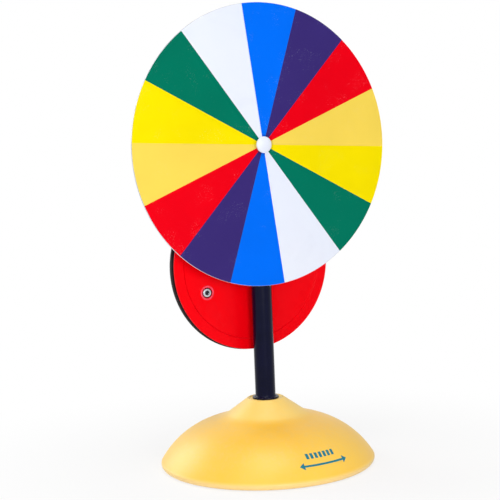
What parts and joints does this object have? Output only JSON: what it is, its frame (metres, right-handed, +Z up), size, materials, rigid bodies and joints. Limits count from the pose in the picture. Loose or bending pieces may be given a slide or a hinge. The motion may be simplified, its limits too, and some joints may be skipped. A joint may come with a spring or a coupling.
{
  "type": "hand-cranked colour disc",
  "caption": "Colour disc on a column with a domed base, spun by a crank wheel through a round belt.",
  "frame": {"origin": "on the column's axis at table level", "axes": "+Z up along the column; the colour disc faces -Y and the crank handle points to +Y"},
  "size_m": [0.23, 0.1768, 0.379],
  "materials": {
    "base_yellow": "glossy warm yellow moulding",
    "ballast_iron": "raw cast iron",
    "black_plastic": "satin black moulding",
    "foot_rubber": "soft black rubber",
    "column_paint": "satin black-blue lacquer",
    "zinc_steel": "bright zinc-plated steel",
    "bright_steel": "ground steel",
    "insert_brass": "turned brass",
    "bush_acetal": "natural acetal",
    "disc_white": "glossy white sheet",
    "cap_white": "glossy white moulding",
    "film_blue": "printed colour, gloss",
    "film_indigo": "printed colour, gloss",
    "film_red": "printed colour, gloss",
    "film_orange": "printed colour, gloss",
    "film_yellow": "printed colour, gloss",
    "film_green": "printed colour, gloss",
    "wheel_red": "glossy red moulding",
    "belt_rubber": "smooth black rubber cord",
    "grip_black": "satin black moulding"
  },
  "bodies": {
    "stand": {"base_dome": "base_yellow", "ballast_weight": "ballast_iron", "base_plate": "black_plastic", "base_plate_screw_1": "zinc_steel", "base_plate_screw_2": "zinc_steel", "base_plate_screw_3": "zinc_steel", "base_plate_screw_4": "zinc_steel", "foot_ring": "foot_rubber", "column": "column_paint", "column_cap": "black_plastic", "column_insert": "insert_brass", "column_washer": "zinc_steel", "column_bolt": "zinc_steel", "front_shaft_bush": "bush_acetal", "rear_shaft_bush": "bush_acetal", "axle_bolt": "zinc_steel", "axle_saddle_washer": "zinc_steel", "axle_spacer": "black_plastic", "axle_sleeve": "bright_steel", "axle_washer": "zinc_steel", "axle_nut": "zinc_steel", "drive_belt": "belt_rubber"},
    "disc": {"disc_shaft": "bright_steel", "disc_flange": "zinc_steel", "colour_disc": "disc_white", "hub_cap": "cap_white", "right_blue_sector": "film_blue", "right_indigo_sector": "film_indigo", "right_red_sector": "film_red", "right_orange_sector": "film_orange", "right_yellow_sector": "film_yellow", "right_green_sector": "film_green", "left_blue_sector": "film_blue", "left_indigo_sector": "film_indigo", "left_red_sector": "film_red", "left_orange_sector": "film_orange", "left_yellow_sector": "film_yellow", "left_green_sector": "film_green", "disc_pulley": "black_plastic", "pulley_nut": "zinc_steel"},
    "wheel": {"crank_wheel": "wheel_red", "wheel_bush": "bush_acetal", "wheel_back_plate": "black_plastic", "wheel_joining_screw_1": "zinc_steel", "wheel_joining_screw_2": "zinc_steel", "wheel_joining_screw_3": "zinc_steel", "wheel_joining_screw_4": "zinc_steel", "handle_screw": "bright_steel", "handle_inner_washer": "zinc_steel", "handle_sleeve": "bright_steel", "handle_end_washer": "zinc_steel", "handle_nut": "zinc_steel"},
    "grip": {"handle_grip": "grip_black", "handle_end_plug": "grip_black"}
  },
  "joints": [
    {"name": "wheel_spin", "type": "hinge", "parent": "stand", "child": "wheel", "pos_m": [0, 0.0181, 0.165], "axis": [0, 1, 0], "continuous": true},
    {"name": "disc_spin", "type": "hinge", "parent": "stand", "child": "disc", "pos_m": [0, 0, 0.264], "axis": [0, 1, 0], "continuous": true},
    {"name": "grip_spin", "type": "hinge", "parent": "wheel", "child": "grip", "pos_m": [-0.04251, 0.0456, 0.14427], "axis": [0, 1, 0], "continuous": true}
  ],
  "couplings": [
    {"joint": "disc_spin", "follows": "wheel_spin", "ratio": 6}
  ]
}
